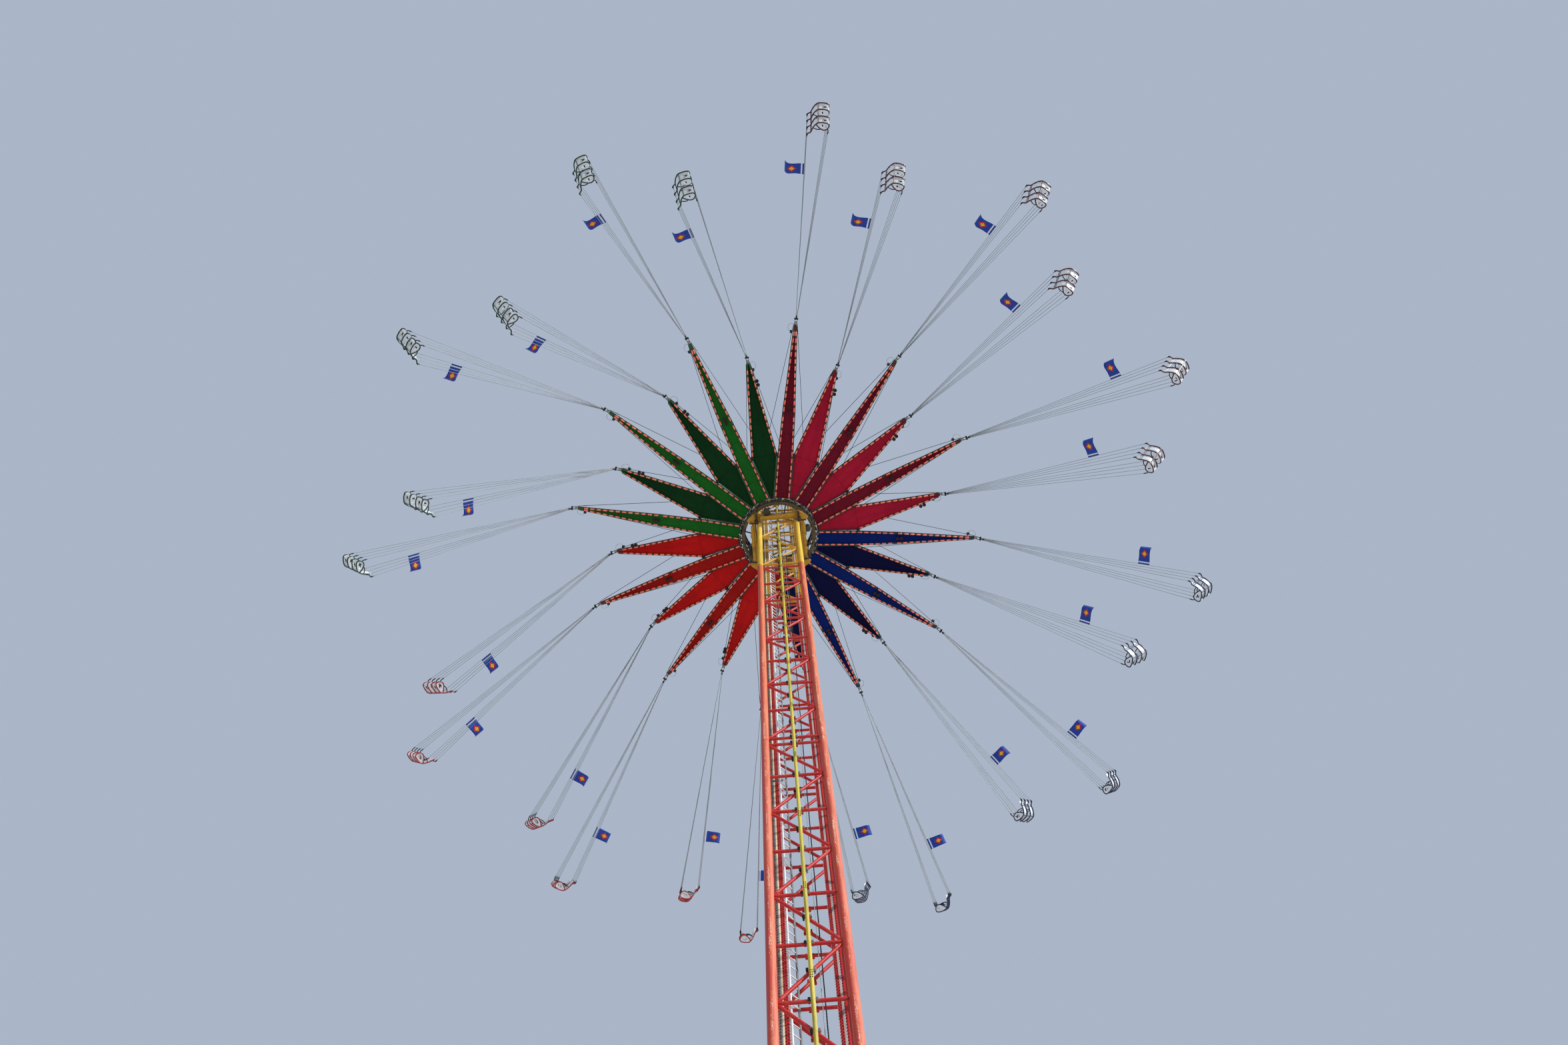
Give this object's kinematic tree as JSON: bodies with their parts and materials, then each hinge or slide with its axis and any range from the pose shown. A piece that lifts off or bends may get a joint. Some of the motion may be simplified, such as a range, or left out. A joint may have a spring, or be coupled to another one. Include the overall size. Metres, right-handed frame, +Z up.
{
  "type": "chair swing ride, 1:2 scale model",
  "caption": "Tower swing ride with a lattice mast, a carriage that climbs it, a turning star of covered arms and double chairs flung out on steel ropes.",
  "frame": {"origin": "centre of the base frame's underside, on the tower's axis", "axes": "+Z up along the tower; the yellow guide rail is on the -Y side, which faces the camera of the picture"},
  "size_m": [17.013, 17.5042, 30.8253],
  "materials": {
    "base_steel": "dark grey paint on welded steel",
    "tower_paint": "weathered red and orange paint, yellow near the top",
    "yellow_paint": "satin ochre yellow paint",
    "cream_paint": "worn cream paint",
    "white_paint": "white paint",
    "black_rope": "greased black rope",
    "bearing_steel": "dark olive grey painted steel",
    "black_plastic": "black moulded housing",
    "stay_wire": "dull galvanised wire rope",
    "crimson_cover": "taut crimson cover over steel arms",
    "blue_cover": "taut navy blue cover over steel arms",
    "red_cover": "taut red cover over steel arms",
    "green_cover": "taut green cover over steel arms",
    "chair_shell": "white moulded seats on painted tube with steel ropes"
  },
  "bodies": {
    "tower": {"base_frame": "base_steel", "tower_lattice_front": "tower_paint", "tower_lattice_right": "tower_paint", "tower_lattice_back": "tower_paint", "tower_lattice_left": "tower_paint", "tower_leg_front_left": "tower_paint", "tower_leg_front_right": "tower_paint", "tower_leg_back_right": "tower_paint", "tower_leg_back_left": "tower_paint", "tower_head_frame": "yellow_paint", "guide_rail_front": "yellow_paint", "guide_rail_right": "cream_paint", "guide_rail_back": "cream_paint", "guide_rail_left": "cream_paint", "rack_strip_left": "tower_paint", "rack_strip_right": "tower_paint", "access_ladder": "white_paint", "hoist_rope": "black_rope"},
    "carriage": {"carriage_sole_plate": "yellow_paint", "carriage_walls": "yellow_paint", "slew_bearing_ring": "bearing_steel", "carriage_guide_frame": "yellow_paint", "slew_motor_front": "bearing_steel", "slew_motor_right": "bearing_steel", "control_box_left": "black_plastic"},
    "star": {"hub_frame": "bearing_steel", "arm_stays": "stay_wire", "arms_crimson": "crimson_cover", "arms_blue": "blue_cover", "arms_red": "red_cover", "arms_green": "green_cover"},
    "chair_01": {"chair_01": "chair_shell"},
    "chair_02": {"chair_02": "chair_shell"},
    "chair_03": {"chair_03": "chair_shell"},
    "chair_04": {"chair_04": "chair_shell"},
    "chair_05": {"chair_05": "chair_shell"},
    "chair_06": {"chair_06": "chair_shell"},
    "chair_07": {"chair_07": "chair_shell"},
    "chair_08": {"chair_08": "chair_shell"},
    "chair_09": {"chair_09": "chair_shell"},
    "chair_10": {"chair_10": "chair_shell"},
    "chair_11": {"chair_11": "chair_shell"},
    "chair_12": {"chair_12": "chair_shell"},
    "chair_13": {"chair_13": "chair_shell"},
    "chair_14": {"chair_14": "chair_shell"},
    "chair_15": {"chair_15": "chair_shell"},
    "chair_16": {"chair_16": "chair_shell"},
    "chair_17": {"chair_17": "chair_shell"},
    "chair_18": {"chair_18": "chair_shell"},
    "chair_19": {"chair_19": "chair_shell"},
    "chair_20": {"chair_20": "chair_shell"},
    "chair_21": {"chair_21": "chair_shell"},
    "chair_22": {"chair_22": "chair_shell"},
    "chair_23": {"chair_23": "chair_shell"},
    "chair_24": {"chair_24": "chair_shell"}
  },
  "joints": [
    {"name": "carriage_lift", "type": "slide", "parent": "tower", "child": "carriage", "axis": [0, 0, 1], "range_m": [-21.85, 1.4]},
    {"name": "star_spin", "type": "hinge", "parent": "carriage", "child": "star", "pos_m": [0, 0, 26.545], "axis": [0, 0, 1], "continuous": true},
    {"name": "chair_01_swing", "type": "hinge", "parent": "star", "child": "chair_01", "pos_m": [0.69852, -4.44545, 27.465], "axis": [-0.9913, -0.1319, 0], "range_deg": [-53.25, 8]},
    {"name": "chair_02_swing", "type": "hinge", "parent": "star", "child": "chair_02", "pos_m": [1.51094, -3.40481, 27.465], "axis": [-0.9677, -0.2521, 0], "range_deg": [-53.56, 8]},
    {"name": "chair_03_swing", "type": "hinge", "parent": "star", "child": "chair_03", "pos_m": [2.82767, -3.50061, 27.465], "axis": [-0.8211, -0.5708, 0], "range_deg": [-54.22, 8]},
    {"name": "chair_04_swing", "type": "hinge", "parent": "star", "child": "chair_04", "pos_m": [3.01091, -2.19318, 27.465], "axis": [-0.7568, -0.6536, 0], "range_deg": [-53.46, 8]},
    {"name": "chair_05_swing", "type": "hinge", "parent": "star", "child": "chair_05", "pos_m": [4.19914, -1.61779, 27.465], "axis": [-0.4559, -0.89, 0], "range_deg": [-52.65, 8]},
    {"name": "chair_06_swing", "type": "hinge", "parent": "star", "child": "chair_06", "pos_m": [3.70412, -0.39389, 27.465], "axis": [-0.3718, -0.9283, 0], "range_deg": [-49.37, 8]},
    {"name": "chair_07_swing", "type": "hinge", "parent": "star", "child": "chair_07", "pos_m": [4.44545, 0.69852, 27.465], "axis": [0.0751, -0.9972, 0], "range_deg": [-50.92, 8]},
    {"name": "chair_08_swing", "type": "hinge", "parent": "star", "child": "chair_08", "pos_m": [3.40481, 1.51094, 27.465], "axis": [0.1778, -0.9841, 0], "range_deg": [-45.11, 8]},
    {"name": "chair_09_swing", "type": "hinge", "parent": "star", "child": "chair_09", "pos_m": [3.50061, 2.82767, 27.465], "axis": [0.6173, -0.7868, 0], "range_deg": [-51.67, 8]},
    {"name": "chair_10_swing", "type": "hinge", "parent": "star", "child": "chair_10", "pos_m": [2.19318, 3.01091, 27.465], "axis": [0.7106, -0.7036, 0], "range_deg": [-44.55, 8]},
    {"name": "chair_11_swing", "type": "hinge", "parent": "star", "child": "chair_11", "pos_m": [1.61779, 4.19914, 27.465], "axis": [0.9392, -0.3435, 0], "range_deg": [-54.75, 8]},
    {"name": "chair_12_swing", "type": "hinge", "parent": "star", "child": "chair_12", "pos_m": [0.39389, 3.70412, 27.465], "axis": [0.9746, -0.2241, 0], "range_deg": [-47.5, 8]},
    {"name": "chair_13_swing", "type": "hinge", "parent": "star", "child": "chair_13", "pos_m": [-0.69852, 4.44545, 27.465], "axis": [0.9898, 0.1426, 0], "range_deg": [-57.13, 8]},
    {"name": "chair_14_swing", "type": "hinge", "parent": "star", "child": "chair_14", "pos_m": [-1.51094, 3.40481, 27.465], "axis": [0.9691, 0.2469, 0], "range_deg": [-49.85, 8]},
    {"name": "chair_15_swing", "type": "hinge", "parent": "star", "child": "chair_15", "pos_m": [-2.82767, 3.50061, 27.465], "axis": [0.8241, 0.5664, 0], "range_deg": [-56.18, 8]},
    {"name": "chair_16_swing", "type": "hinge", "parent": "star", "child": "chair_16", "pos_m": [-3.01091, 2.19318, 27.465], "axis": [0.7724, 0.6351, 0], "range_deg": [-48.61, 8]},
    {"name": "chair_17_swing", "type": "hinge", "parent": "star", "child": "chair_17", "pos_m": [-4.19914, 1.61779, 27.465], "axis": [0.4843, 0.8749, 0], "range_deg": [-52.26, 8]},
    {"name": "chair_18_swing", "type": "hinge", "parent": "star", "child": "chair_18", "pos_m": [-3.70412, 0.39389, 27.465], "axis": [0.4026, 0.9154, 0], "range_deg": [-44.67, 8]},
    {"name": "chair_19_swing", "type": "hinge", "parent": "star", "child": "chair_19", "pos_m": [-4.44545, -0.69852, 27.465], "axis": [-0.0207, 0.9998, 0], "range_deg": [-48.26, 8]},
    {"name": "chair_20_swing", "type": "hinge", "parent": "star", "child": "chair_20", "pos_m": [-3.40481, -1.51094, 27.465], "axis": [-0.154, 0.9881, 0], "range_deg": [-41.67, 8]},
    {"name": "chair_21_swing", "type": "hinge", "parent": "star", "child": "chair_21", "pos_m": [-3.50061, -2.82767, 27.465], "axis": [-0.5783, 0.8158, 0], "range_deg": [-47.34, 8]},
    {"name": "chair_22_swing", "type": "hinge", "parent": "star", "child": "chair_22", "pos_m": [-2.19318, -3.01091, 27.465], "axis": [-0.7021, 0.7121, 0], "range_deg": [-43.34, 8]},
    {"name": "chair_23_swing", "type": "hinge", "parent": "star", "child": "chair_23", "pos_m": [-1.61779, -4.19914, 27.465], "axis": [-0.9296, 0.3685, 0], "range_deg": [-49.97, 8]},
    {"name": "chair_24_swing", "type": "hinge", "parent": "star", "child": "chair_24", "pos_m": [-0.39389, -3.70412, 27.465], "axis": [-0.973, 0.2309, 0], "range_deg": [-48.96, 8]}
  ]
}
